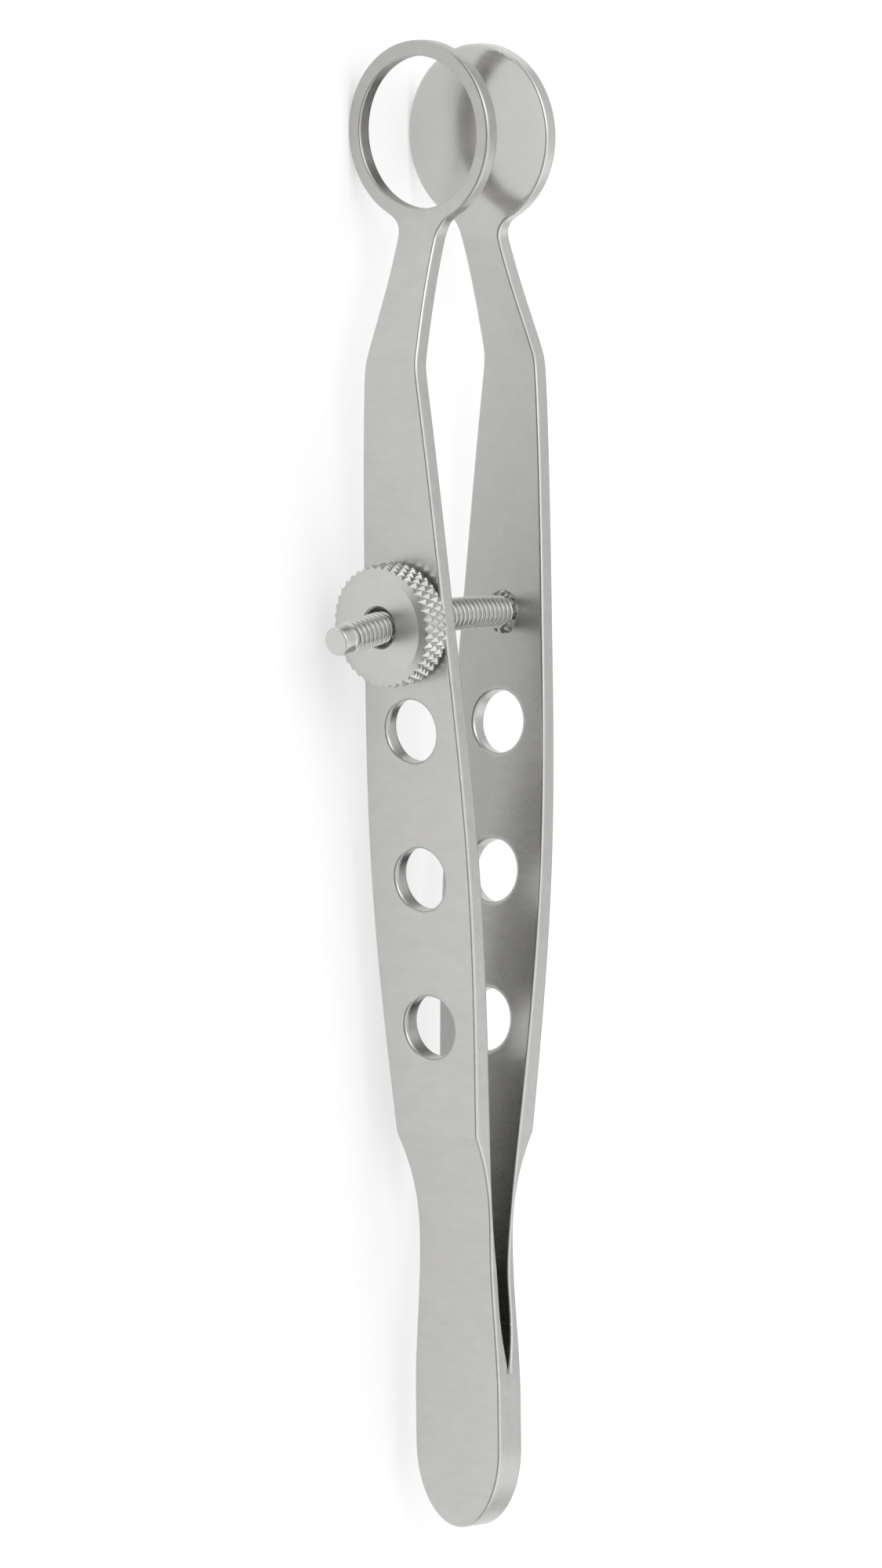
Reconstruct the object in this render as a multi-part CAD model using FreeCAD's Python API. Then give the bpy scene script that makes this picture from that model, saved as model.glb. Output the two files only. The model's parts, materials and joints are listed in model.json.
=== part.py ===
"""Chalazion forceps: two sprung arms, a ring and a plate, drawn together by a nut on a threaded stud."""
import math
import os

import FreeCAD
import Part

V = FreeCAD.Vector

# All sizes are in millimetres. A station is a distance along the instrument from its butt end,
# an offset is a distance from the middle plane between the two arms.
overall_length = 90.2
trim_margin = 2.0            # how far the trimming solids reach past the arms

# Butt, where the arms lie on each other and are welded along the edge
butt_width = 6.7
butt_end_length = 5.0        # length of the half-ellipse that rounds the end
butt_thickness = 1.08        # of one arm; its outer face runs on flat to the run-out
shoulder_station = 8.0       # where the full width of the butt ends
weld_depth = 0.4             # of the V that the edge weld fills
weld_half_width = 0.3        # of the V where it meets the outline
notch_station = 9.5          # where the arms part
notch_rise = 0.22            # slope of the inner face where the arms part
throat_station = 12.4
throat_half_gap = 0.44

# Thin waist, which is the spring of each arm
bow_station = 16.4           # where the bowed inner face starts
bow_half_gap = 0.55
flex_station = 17.0          # where the arm bends
waist_station = 16.0         # where the waist is narrowest
waist_width = 5.8
runout_station = 18.0        # where the ground waist starts to curve up to the step

# Grip, from the step to the knee
step_station = 24.0
step_thickness = 1.36
step_width = 6.4
grip_station = 40.3
grip_width = 7.84
inner_bow = 0.29             # rise of the inner face above its chord
outer_bow = 0.07             # rise of the outer face above its chord

# Knee, shank and jaws
knee_from_tip = 19.45
knee_half_gap = 5.08
knee_thickness = 1.08
knee_width = 4.04
jaw_bend_from_tip = 11.5     # of either arm, where the flat of its jaw starts
plate_set_back = 0.4         # of the plate's tip behind the ring's
jaw_gap = 4.6                # between the ring and the plate with the nut slack
jaw_thickness = 0.95
neck_width = 3.0
neck_fillet = 1.6
neck_straight = 0.2          # least length of the parallel neck
ring_outer_radius = 5.55
ring_bore_radius = 4.6
plate_radius = 5.5
knee_hollow_radius = 4.9
knee_crown_radius = 6.0
jaw_hollow_radius = 1.6
jaw_crown_radius = 2.6

# Edges
edge_round = 0.15            # all round the outer face of an arm, and on the top of its step
bore_edge_break = 0.12       # bore of the ring

# Finger holes through both arms
hole_radius = 1.9
hole_edge_break = 0.12
hole_first_station = 30.7
hole_last_to_stud = 6.75
hole_count = 3

# Stud, bent so that it stands square to both arms
stud_to_knee = 15.3
stud_width = 6.40            # width of the arms at the stud
stud_radius = 1.0
stud_reach = 11.4            # offset of its free end
stud_tip_length = 0.9
stud_tip_radius = 0.78
stud_tip_round = 0.2
stud_head_radius = 1.35
stud_head_depth = 0.35
stud_hole_clearance = 0.4    # between the stud and its hole in the ring arm
braze_width = 0.32           # of the collar round the foot of the stud
braze_height = 0.3

# Round nut
nut_radius = 3.75
nut_thickness = 2.25
nut_chamfer_width = 0.55     # across the face
nut_chamfer_depth = 0.35     # along the axis
nut_clearance = 0.2          # between its bore and the stud
nut_mouth = 0.1              # by which the bore widens at each face
nut_seat_gap = 0.08

knee_station = overall_length - knee_from_tip
stud_station = knee_station - stud_to_knee
hole_pitch = (stud_station - hole_last_to_stud - hole_first_station) / (hole_count - 1)
plate_tip = overall_length - plate_set_back
ring_station = overall_length - ring_outer_radius
plate_station = plate_tip - plate_radius
jaw_half_gap = jaw_gap / 2
jaw_outer = jaw_half_gap + jaw_thickness
knee_outer = knee_half_gap + knee_thickness
reach = grip_width / 2 + knee_outer + stud_reach + trim_margin


def fillet_start(jaw_station, jaw_radius):
    """Station where the neck's fillet towards a round jaw starts."""
    return jaw_station - math.sqrt((jaw_radius + neck_fillet) ** 2 - (neck_width / 2 + neck_fillet) ** 2)


# Both arms share one outline up to the neck
neck_station = min(fillet_start(ring_station, ring_outer_radius),
                   fillet_start(plate_station, plate_radius)) - neck_straight


def bow(first, last, rise):
    """Circle through two points given as (station, offset), bowed outwards by rise."""
    run = last[0] - first[0]
    climb = last[1] - first[1]
    chord = math.hypot(run, climb)
    radius = (chord * chord / 4 + rise * rise) / (2 * rise)
    outward = (-climb / chord, run / chord)
    crest = ((first[0] + last[0]) / 2 + rise * outward[0], (first[1] + last[1]) / 2 + rise * outward[1])
    centre = (crest[0] - radius * outward[0], crest[1] - radius * outward[1])
    return {"first": first, "last": last, "crest": crest, "centre": centre, "radius": radius}


def offset_at(curve, station):
    run = station - curve["centre"][0]
    return curve["centre"][1] + math.sqrt(curve["radius"] ** 2 - run * run)


def slope_at(curve, station):
    """Angle between the curve and the middle plane, in radians."""
    return math.asin((curve["centre"][0] - station) / curve["radius"])


inner_curve = bow((bow_station, bow_half_gap), (knee_station, knee_half_gap), inner_bow)
step_outer = offset_at(inner_curve, step_station) + step_thickness
outer_curve = bow((step_station, step_outer), (knee_station, knee_outer), outer_bow)

# The stud's centre line is an arc in the plane of the profile, square to both arms at mid-thickness
stud_mid_offset = (offset_at(inner_curve, stud_station) + offset_at(outer_curve, stud_station)) / 2
stud_mid_slope = (slope_at(inner_curve, stud_station) + slope_at(outer_curve, stud_station)) / 2
stud_bend_radius = stud_mid_offset / math.sin(stud_mid_slope)
stud_centre = V(stud_bend_radius - stud_station, 0, 0)


def at(station, offset, height=0):
    return V(-station, offset, height)


def chain(points):
    return [Part.makeLine(at(*start), at(*end)) for start, end in zip(points, points[1:])]


def arc(first, middle, last):
    return Part.Arc(at(*first), at(*middle), at(*last)).toShape()


def slab(edges, depth, direction):
    """Closed outline made solid by pushing it along a direction."""
    return Part.Face(Part.Wire(Part.__sortEdges__(edges))).extrude(direction * depth)


def upright_edge(solid, place):
    """The edge that stands across the arm at a (station, offset) place."""
    for edge in solid.Edges:
        start = edge.Vertexes[0].Point
        end = edge.Vertexes[-1].Point
        if abs(start.z - end.z) > 1 and (V(start.x, start.y, 0) - at(*place)).Length < 1e-3:
            return [edge]
    return []


def side_view(bend_station):
    """Block with the bowed side view of an arm on the plate side, wider than the arm."""
    fall = (knee_half_gap - jaw_half_gap) / (bend_station - knee_station)
    outer_bend_station = knee_station + (knee_outer - jaw_outer) / fall
    far = overall_length + trim_margin
    seam = [(0, 0), (notch_station, 0)]
    shank = [inner_curve["last"], (bend_station, jaw_half_gap), (far, jaw_half_gap),
             (far, jaw_outer), (outer_bend_station, jaw_outer), outer_curve["last"]]
    heel = [(runout_station, butt_thickness), (0, butt_thickness), (0, 0)]
    edges = chain(seam) + chain(shank) + chain(heel)
    throat = Part.BSplineCurve()
    throat.interpolate(Points=[at(notch_station, 0), at(throat_station, throat_half_gap),
                               at(bow_station, bow_half_gap)],
                       InitialTangent=V(-1, notch_rise, 0),
                       FinalTangent=V(-1, math.tan(slope_at(inner_curve, bow_station)), 0))
    edges.append(throat.toShape())
    for curve in (inner_curve, outer_curve):
        edges.append(arc(curve["first"], curve["crest"], curve["last"]))
    # the grinding wheel leaves the flat tangentially and comes out at the top of the step
    climb = step_outer - butt_thickness
    run = step_station - runout_station
    wheel_radius = (run * run + climb * climb) / (2 * climb)
    half = math.atan2(climb, run)
    wheel_point = (runout_station + wheel_radius * math.sin(half),
                   butt_thickness + wheel_radius * (1 - math.cos(half)))
    edges.append(arc((step_station, step_outer), wheel_point, (runout_station, butt_thickness)))
    block = slab(edges, 2 * reach, V(0, 0, 1))
    block.translate(V(0, 0, -reach))
    bends = [(knee_hollow_radius, (knee_station, knee_half_gap)),
             (knee_crown_radius, (knee_station, knee_outer)),
             (jaw_crown_radius, (bend_station, jaw_half_gap)),
             (jaw_hollow_radius, (outer_bend_station, jaw_outer))]
    for radius, place in bends:
        block = block.makeFillet(radius, upright_edge(block, place))
    return block


def face_view(jaw_station, jaw_radius):
    """Block with the face view of an arm, from the rounded butt to the round jaw."""
    half_butt = butt_width / 2
    height = neck_width / 2 + neck_fillet
    start = fillet_start(jaw_station, jaw_radius)
    lean = math.atan2(height, jaw_station - start)
    turn = (math.pi / 2 - lean) / 2
    fillet_point = (start + neck_fillet * math.sin(turn), 0, height - neck_fillet * math.cos(turn))
    touch = (jaw_station - jaw_radius * math.cos(lean), 0, jaw_radius * math.sin(lean))
    flank_points = [(shoulder_station, half_butt), (waist_station, waist_width / 2),
                    (step_station, step_width / 2), (grip_station, grip_width / 2),
                    (stud_station, stud_width / 2), (knee_station, knee_width / 2),
                    (neck_station, neck_width / 2)]
    edges = []
    for side in (1, -1):
        flank = Part.BSplineCurve()
        flank.interpolate(Points=[at(station, 0, side * half) for station, half in flank_points],
                          InitialTangent=V(-1, 0, 0), FinalTangent=V(-1, 0, 0))
        edges.append(flank.toShape())
        edges.append(Part.makeLine(at(butt_end_length, 0, side * half_butt),
                                   at(shoulder_station, 0, side * half_butt)))
        edges.append(Part.makeLine(at(neck_station, 0, side * neck_width / 2), at(start, 0, side * neck_width / 2)))
        edges.append(arc((start, 0, side * neck_width / 2),
                         (fillet_point[0], 0, side * fillet_point[2]), (touch[0], 0, side * touch[2])))
        edges.append(arc((touch[0], 0, side * touch[2]), (jaw_station, 0, side * jaw_radius),
                         (jaw_station + jaw_radius, 0, 0)))
    end = Part.Ellipse(at(0, 0), at(butt_end_length, 0, half_butt), at(butt_end_length, 0))
    edges.append(Part.Arc(end, -math.pi / 2, math.pi / 2).toShape())
    block = slab(edges, 2 * reach, V(0, 1, 0))
    block.translate(V(0, -reach, 0))
    return block


def turned(profile):
    """Solid of revolution round Z from a closed profile of (radius, height) points."""
    lines = [Part.makeLine(V(start[0], 0, start[1]), V(end[0], 0, end[1]))
             for start, end in zip(profile, profile[1:])]
    return Part.Face(Part.Wire(lines)).revolve(V(0, 0, 0), V(0, 0, 1), 360)


def span(solid, first, last):
    """The stretch of an arm between two stations."""
    return solid.common(Part.makeBox(last - first, 2 * reach, 2 * reach, V(-last, -reach, -reach)))


def round_outer_edges(solid):
    """Rounds the outline of the outer face, and the top of the step."""
    edges = []
    for face in solid.Faces:
        first_u, last_u, first_v, last_v = face.ParameterRange
        normal = face.normalAt((first_u + last_u) / 2, (first_v + last_v) / 2)
        if normal.y < 0.3:
            continue
        for edge in face.Edges:
            middle = edge.valueAt((edge.FirstParameter + edge.LastParameter) / 2)
            along = edge.BoundBox.XLength > 1e-6 and abs(middle.z) > 1e-6
            on_step = edge.BoundBox.XLength < 1e-6 and abs(middle.x + step_station) < 1e-3
            if (along or on_step) and not any(edge.isSame(other) for other in edges):
                edges.append(edge)
    return solid.makeFillet(edge_round, edges)


def finger_holes(solid):
    """Deburred holes square to the inner face of the arm, in a row along the grip."""
    wide = hole_radius + 2 * hole_edge_break
    for index in range(hole_count):
        station = hole_first_station + index * hole_pitch
        offset = offset_at(inner_curve, station)
        slope = slope_at(inner_curve, station)
        through = step_thickness
        for _ in range(8):
            through = (offset_at(outer_curve, station - through * math.sin(slope)) - offset) / math.cos(slope)
        drill = turned([(0, -trim_margin), (wide, -trim_margin), (wide, -hole_edge_break),
                        (hole_radius, hole_edge_break), (hole_radius, through - hole_edge_break),
                        (wide, through + hole_edge_break), (wide, through + trim_margin),
                        (0, through + trim_margin), (0, -trim_margin)])
        square = V(math.sin(slope), math.cos(slope), 0)
        drill.Placement = FreeCAD.Placement(at(station, offset), FreeCAD.Rotation(V(0, 0, 1), square))
        solid = solid.cut(drill)
    return solid


def bore_ring(solid):
    """Opens the disc at the end of an arm into a ring with broken edges."""
    solid = solid.cut(Part.makeCylinder(ring_bore_radius, 2 * reach, at(ring_station, -reach), V(0, 1, 0)))
    for offset, way in ((jaw_half_gap, 1), (jaw_outer, -1)):
        solid = solid.cut(Part.makeCone(ring_bore_radius + 2 * bore_edge_break, ring_bore_radius, 2 * bore_edge_break,
                                        at(ring_station, offset - way * bore_edge_break), V(0, way, 0)))
    return solid


def make_arm(tip, jaw_radius):
    """One whole arm on the plate side, with a plain round jaw."""
    block = side_view(tip - jaw_bend_from_tip).common(face_view(tip - jaw_radius, jaw_radius))
    return finger_holes(round_outer_edges(block))


def butt_outline(inset, offset):
    """Outline of the butt up to the notch, drawn in by inset, at an offset."""
    half = butt_width / 2 - inset
    end = Part.Ellipse(at(inset, offset), at(butt_end_length, offset, half), at(butt_end_length, offset))
    edges = [Part.Arc(end, -math.pi / 2, math.pi / 2).toShape(),
             Part.makeLine(at(butt_end_length, offset, -half), at(notch_station, offset, -half)),
             Part.makeLine(at(notch_station, offset, -half), at(notch_station, offset, half)),
             Part.makeLine(at(notch_station, offset, half), at(butt_end_length, offset, half))]
    return Part.Wire(Part.__sortEdges__(edges))


def make_weld():
    """Bead that fills the V ground along the seam of the butt, finished flush with its sides."""
    band = span(face_view(plate_station, plate_radius), 0, notch_station)
    band = band.common(Part.makeBox(overall_length, 2 * weld_half_width, 2 * reach,
                                    V(-overall_length, -weld_half_width, -reach)))
    for side in (1, -1):
        core = Part.makeLoft([butt_outline(weld_depth, 0), butt_outline(0, side * weld_half_width)], True, True)
        band = band.cut(core)
    return band


def stud_angle(offset):
    return math.asin(offset / stud_bend_radius)


def stud_point(angle):
    return stud_centre + V(-math.cos(angle), math.sin(angle), 0) * stud_bend_radius


def stud_direction(angle):
    """Direction along the stud towards the plate arm."""
    return V(math.sin(angle), math.cos(angle), 0)


def stud_crossing(curve, side):
    """Angle along the stud where it crosses a face of the arm on the given side."""
    angle = stud_angle(stud_mid_offset)
    for _ in range(8):
        angle = stud_angle(offset_at(curve, -stud_point(angle).x))
    return side * angle


def bent_rod(radius, first, last):
    """Round rod along the stud's arc, between two angles."""
    disc = Part.Face(Part.Wire(Part.makeCircle(radius, stud_point(first), stud_direction(first))))
    return disc.revolve(stud_centre, V(0, 0, -1), math.degrees(last - first))


def beyond(curve):
    """Everything outside a face of the plate arm near the stud."""
    half = 3 * stud_head_radius
    near, far = stud_station - half, stud_station + half
    top = offset_at(outer_curve, far) + 2 * trim_margin
    edges = [arc(*[(s, offset_at(curve, s)) for s in (near, stud_station, far)])]
    edges += chain([(far, offset_at(curve, far)), (far, top), (near, top), (near, offset_at(curve, near))])
    block = slab(edges, 2 * half, V(0, 0, 1))
    block.translate(V(0, 0, -half))
    return block


def make_stud():
    """Bent stud with a tapered end, and a countersunk end finished flush with the plate arm."""
    head_foot = stud_crossing(outer_curve, 1) - stud_head_depth / stud_bend_radius
    tip = -stud_angle(stud_reach - stud_tip_length)
    rod = bent_rod(stud_radius, tip, head_foot)
    nose = Part.makeCone(stud_radius, stud_tip_radius, stud_tip_length, stud_point(tip), -stud_direction(tip))
    rim = [edge for edge in nose.Edges if abs(edge.Length - 2 * math.pi * stud_tip_radius) < 1e-3]
    nose = nose.makeFillet(stud_tip_round, rim)
    grow = (stud_head_radius - stud_radius) / stud_head_depth
    depth = 2 * stud_head_depth
    head = Part.makeCone(stud_radius, stud_radius + grow * depth, depth,
                         stud_point(head_foot), stud_direction(head_foot))
    return rod.fuse([nose, head]).removeSplitter().cut(beyond(outer_curve))


def make_braze(stud):
    """Collar of braze where the stud leaves the inner face of the plate arm."""
    foot = stud_crossing(inner_curve, 1)
    core = stud_radius / 2
    slim = stud_radius + braze_width / 4
    wide = stud_radius + braze_width
    sunk = braze_height / 2
    collar = turned([(core, -braze_height), (slim, -braze_height), (wide, 0), (wide, sunk), (core, sunk),
                     (core, -braze_height)])
    collar.Placement = FreeCAD.Placement(stud_point(foot), FreeCAD.Rotation(V(0, 0, 1), stud_direction(foot)))
    return collar.cut(stud).cut(beyond(inner_curve))


def make_nut():
    """Round nut on the outer face of the ring arm, turned about an axis square to that face."""
    seat = stud_crossing(outer_curve, -1)
    bore = stud_radius + nut_clearance
    mouth = bore + nut_mouth
    profile = [(bore, nut_mouth), (mouth, 0), (nut_radius - nut_chamfer_width, 0),
               (nut_radius, nut_chamfer_depth), (nut_radius, nut_thickness - nut_chamfer_depth),
               (nut_radius - nut_chamfer_width, nut_thickness), (mouth, nut_thickness),
               (bore, nut_thickness - nut_mouth), (bore, nut_mouth)]
    nut = turned(profile)
    outward = -stud_direction(seat)
    nut.Placement = FreeCAD.Placement(stud_point(seat) + outward * nut_seat_gap,
                                      FreeCAD.Rotation(V(0, 0, 1), outward))
    return nut


def across(solid):
    """Mirror image on the other side of the middle plane."""
    return solid.mirror(V(0, 0, 0), V(0, 1, 0))


def build():
    weld = make_weld()
    stud = make_stud()
    plate_side = make_arm(plate_tip, plate_radius).cut(weld)
    ring_side = bore_ring(make_arm(overall_length, ring_outer_radius)).cut(weld)
    plate_arm = span(plate_side, flex_station, overall_length + trim_margin).cut(stud)
    ring_arm = span(ring_side, flex_station, overall_length + trim_margin)
    hole = bent_rod(stud_radius + stud_hole_clearance, stud_crossing(inner_curve, 1) - stud_angle(trim_margin),
                    stud_crossing(outer_curve, 1) + stud_angle(trim_margin))
    shapes = {
        "ring_arm": across(ring_arm.cut(hole)),
        "ring_arm_butt": across(span(ring_side, 0, flex_station)),
        "plate_arm": plate_arm,
        "plate_arm_butt": span(plate_side, 0, flex_station),
        "butt_weld": weld,
        "clamp_stud": stud,
        "stud_braze": make_braze(stud),
        "knurled_nut": make_nut(),
    }
    box = Part.makeCompound(list(shapes.values())).optimalBoundingBox(False, False)
    shift = V(-(box.XMin + box.XMax) / 2, -(box.YMin + box.YMax) / 2, -box.ZMin)
    for shape in shapes.values():
        shape.translate(shift)
    return shapes


os.makedirs("parts", exist_ok=True)
for name, shape in build().items():
    shape.exportStep(os.path.join("parts", name + ".step"))
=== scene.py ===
import json
import math

import bmesh
import bpy
import numpy as np
from mathutils import Matrix, Vector


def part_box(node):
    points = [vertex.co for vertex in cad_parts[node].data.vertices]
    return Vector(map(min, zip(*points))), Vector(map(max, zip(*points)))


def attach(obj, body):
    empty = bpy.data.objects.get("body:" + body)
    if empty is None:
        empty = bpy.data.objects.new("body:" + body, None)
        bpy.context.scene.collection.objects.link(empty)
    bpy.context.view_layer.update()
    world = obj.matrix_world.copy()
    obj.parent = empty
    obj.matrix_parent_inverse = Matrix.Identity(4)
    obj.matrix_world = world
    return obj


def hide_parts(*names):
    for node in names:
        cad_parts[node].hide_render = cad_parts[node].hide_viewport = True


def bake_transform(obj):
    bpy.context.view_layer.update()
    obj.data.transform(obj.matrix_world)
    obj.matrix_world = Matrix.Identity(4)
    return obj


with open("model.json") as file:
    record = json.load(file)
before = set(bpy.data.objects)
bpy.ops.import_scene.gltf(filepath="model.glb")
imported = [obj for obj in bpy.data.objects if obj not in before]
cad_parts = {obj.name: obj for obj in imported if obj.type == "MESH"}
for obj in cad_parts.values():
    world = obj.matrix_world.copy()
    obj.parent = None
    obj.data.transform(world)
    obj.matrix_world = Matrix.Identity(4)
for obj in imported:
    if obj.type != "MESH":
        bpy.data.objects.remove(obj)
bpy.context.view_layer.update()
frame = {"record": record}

# Distances are in millimetres: a station runs from the butt end along the instrument, an offset runs
# from the middle plane out towards an arm, and a height runs across the width of the arms.
mm = 0.001
weldLow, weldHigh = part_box("butt_weld")
armLow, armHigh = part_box("plate_arm")
buttX = weldHigh.x / mm
middleY = (weldLow.y + weldHigh.y) / 2 / mm
middleZ = (armLow.z + armHigh.z) / 2 / mm
plateSide, ringSide = 1, -1


def toFrame(station, offset, height, side=plateSide):
    # station, offset and height arrays become an array of points in the row frame, in metres
    station, offset, height = np.broadcast_arrays(station, offset, height)
    return np.stack([buttX - station, middleY + side * offset, middleZ + height], axis=-1) * mm


def gridFaces(rows, columns, wrap=False):
    # quads between neighbouring points of a rows by columns grid; wrap joins the last column to the first
    r = np.arange(rows - 1)[:, None] * columns
    c = np.arange(columns if wrap else columns - 1)[None, :]
    after = (c + 1) % columns
    return np.stack([r + c, r + after, r + columns + after, r + columns + c], axis=-1).reshape(-1, 4)


mergeDistance = 0.0004


def pieceFromGrids(name, grids, sharpAngle=35):
    # every grid is (points, wrap) or (points, wrap, whether it is an inner face); their faces go into one
    # mesh, whose matching edges are then merged
    points, faces, inner, start = [], [], [], 0
    for grid, wrap, *isInner in grids:
        rows, columns = grid.shape[:2]
        points.append(grid.reshape(-1, 3))
        inner.append(np.full(rows * columns, float(bool(isInner and isInner[0])), np.float32))
        faces.append(gridFaces(rows, columns, wrap) + start)
        start += rows * columns
    points, faces = np.concatenate(points), np.concatenate(faces)
    mesh = bpy.data.meshes.new(name)
    mesh.vertices.add(len(points))
    mesh.vertices.foreach_set("co", points.astype(np.float32).ravel())
    mesh.loops.add(faces.size)
    mesh.loops.foreach_set("vertex_index", faces.astype(np.int32).ravel())
    mesh.polygons.add(len(faces))
    mesh.polygons.foreach_set("loop_start", np.arange(0, faces.size, 4, dtype=np.int32))
    mesh.update(calc_edges=True)
    mesh.attributes.new("innerFace", "FLOAT", "POINT").data.foreach_set("value", np.concatenate(inner))
    work = bmesh.new()
    work.from_mesh(mesh)
    bmesh.ops.remove_doubles(work, verts=work.verts, dist=mergeDistance * mm)
    bmesh.ops.dissolve_degenerate(work, edges=work.edges, dist=mergeDistance / 4 * mm)
    bmesh.ops.recalc_face_normals(work, faces=work.faces)
    openEdges = sum(1 for edge in work.edges if len(edge.link_faces) != 2)
    work.to_mesh(mesh)
    work.free()
    mesh.shade_smooth()
    mesh.set_sharp_from_angle(angle=math.radians(sharpAngle))
    piece = bpy.data.objects.new(name, mesh)
    bpy.context.scene.collection.objects.link(piece)
    print(f"{name}: {len(mesh.polygons)} faces, {openEdges} open edges")
    return piece


def cubicThrough(x, knots, values, firstSlope, lastSlope):
    # smooth cubic curve through the knots with given end slopes: the slopes at the knots solve the
    # usual three-term equations, and each stretch is then the Hermite cubic between two knots
    knots, values = np.array(knots, float), np.array(values, float)
    gap = np.diff(knots)
    rise = np.diff(values) / gap
    count = len(knots)
    system, target = np.eye(count), np.zeros(count)
    target[0], target[-1] = firstSlope, lastSlope
    inner = np.arange(1, count - 1)
    system[inner, inner - 1] = gap[1:]
    system[inner, inner] = 2 * (gap[:-1] + gap[1:])
    system[inner, inner + 1] = gap[:-1]
    target[inner] = 3 * (gap[1:] * rise[:-1] + gap[:-1] * rise[1:])
    slope = np.linalg.solve(system, target)
    i = np.clip(np.searchsorted(knots, x, side="right") - 1, 0, count - 2)
    t = (x - knots[i]) / gap[i]
    return (values[i] * (1 + 2 * t) * (1 - t) ** 2 + values[i + 1] * (3 - 2 * t) * t ** 2
            + gap[i] * t * (1 - t) * (slope[i] * (1 - t) - slope[i + 1] * t))


def bowLine(x, first, last, rise):
    # circle through two points, bowed outwards by rise; returns its offset at x
    run, climb = last[0] - first[0], last[1] - first[1]
    chord = math.hypot(run, climb)
    radius = (chord ** 2 / 4 + rise ** 2) / (2 * rise)
    centreX = (first[0] + last[0]) / 2 + (rise - radius) * -climb / chord
    centreY = (first[1] + last[1]) / 2 + (rise - radius) * run / chord
    return centreY + np.sqrt(np.maximum(radius ** 2 - (x - centreX) ** 2, 0))


def softLower(a, b, width):
    # the lower of two curves, with their corner rounded over the given width
    return (a + b - np.sqrt((a - b) ** 2 + width ** 2)) / 2


def softUpper(a, b, width):
    return (a + b + np.sqrt((a - b) ** 2 + width ** 2)) / 2


def softStep(x, low, high):
    t = np.clip((x - low) / (high - low), 0, 1)
    return t * t * (3 - 2 * t)


arm = {
    "ringTip": 90.2, "plateTip": 89.8, "ringRadius": 5.55, "plateRadius": 5.5, "boreRadius": 4.6,
    "buttWidth": 6.7, "buttEndLength": 5.0, "buttThickness": 1.08, "shoulder": 8.0,
    "notch": 9.5, "notchSlope": 0.22, "throat": (12.4, 0.44), "bow": (16.4, 0.55),
    "throatRidge": 0.03, "throatRidgeReach": 0.09,
    "runout": 18.0, "step": 24.0, "stepThickness": 1.36, "innerBow": 0.29, "outerBow": 0.07,
    "knee": (70.75, 5.08), "kneeThickness": 1.08, "bendFromTip": 11.5,
    "jawHalfGap": 2.3, "jawThickness": 0.95, "neckHalf": 1.5, "neckFillet": 1.6, "neckStraight": 0.2,
    "flank": ((8.0, 3.35), (16.0, 2.9), (24.0, 3.2), (40.3, 3.92), (55.45, 3.2), (70.75, 2.02)),
    "edgeRound": 0.19, "jawRound": 0.22, "jawRoundFrom": 76, "jawRoundTo": 80,
    "innerRound": 0.16, "boreRound": 0.14, "holeRound": 0.26,
    "holes": (30.7, 39.7, 48.7), "holeRadius": 1.9, "holeCell": 4.5,
    "stud": 55.45, "studCell": 2.25, "ringStudHole": (1.4, 1.4), "plateStudHole": (1.02, 1.35),
    "weldDepth": 0.4, "weldHalfWidth": 0.3, "weldFade": 0.5,
    "stepRound": 0.05, "kneeHollow": 0.2, "kneeCrown": 0.25, "jawHollow": 0.05, "jawCrown": 0.08,
    "midGrip": 50.0, "pastStep": 1.0, "beforeStep": 4.0,
}
# How finely the arms are divided: points on the curved parts of the outline, how far its finer stretches
# reach, the spacing in each stretch, shares across a face and from a hole's rim to its cell's edge
division = {
    "butt": 26, "flat": 6, "neck": 5, "fillet": 18, "disc": 70, "aroundThroat": 0.15, "aroundStep": 0.5,
    "aroundKnee": 2, "spacing": (0.25, 0.3, 0.03, 0.3, 0.2, 0.05, 0.5, 0.45, 0.45, 0.45, 0.4, 0.6, 0.12, 0.5),
    "across": np.concatenate([[-1, -0.985], np.linspace(-0.9, 0.9, 19), [0.985, 1]]),
    "cell": np.array([0, 0.03, 0.15, 0.3, 0.45, 0.6, 0.75, 0.88, 0.97, 1]),
    "edge": 7, "wall": (0.08, 0.92),
}


def gripInner(station):
    return bowLine(station, arm["bow"], arm["knee"], arm["innerBow"])


stepOuter = float(gripInner(np.array(arm["step"]))) + arm["stepThickness"]
kneeOuter = arm["knee"][1] + arm["kneeThickness"]
jawOuter = arm["jawHalfGap"] + arm["jawThickness"]


def shankFall(tip):
    # how much the shank falls towards the middle plane in each millimetre
    return (arm["knee"][1] - arm["jawHalfGap"]) / (tip - arm["bendFromTip"] - arm["knee"][0])


def gripOuter(station):
    return bowLine(station, (arm["step"], stepOuter), (arm["knee"][0], kneeOuter), arm["outerBow"])


def innerOffset(station, tip=arm["plateTip"]):
    # seam, throat, bowed grip, falling shank, and the flat of the jaw
    slope = (gripInner(arm["bow"][0] + 0.01) - gripInner(arm["bow"][0])) / 0.01
    throat = cubicThrough(np.clip(station, arm["notch"], arm["bow"][0]),
                          [arm["notch"], arm["throat"][0], arm["bow"][0]],
                          [0, arm["throat"][1], arm["bow"][1]], arm["notchSlope"], float(slope))
    ridge = np.clip(1 - np.abs(station - arm["throat"][0]) / arm["throatRidgeReach"], 0, 1)
    throat = throat - arm["throatRidge"] * ridge
    shank = arm["knee"][1] - shankFall(tip) * (station - arm["knee"][0])
    front = softLower(gripInner(station), shank, arm["kneeHollow"])
    front = softUpper(front, arm["jawHalfGap"], arm["jawCrown"])
    rear = np.where(station < arm["notch"], 0, throat)
    return np.where(station < arm["bow"][0], rear,
                    np.where(station < arm["midGrip"], gripInner(station), front))


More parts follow.
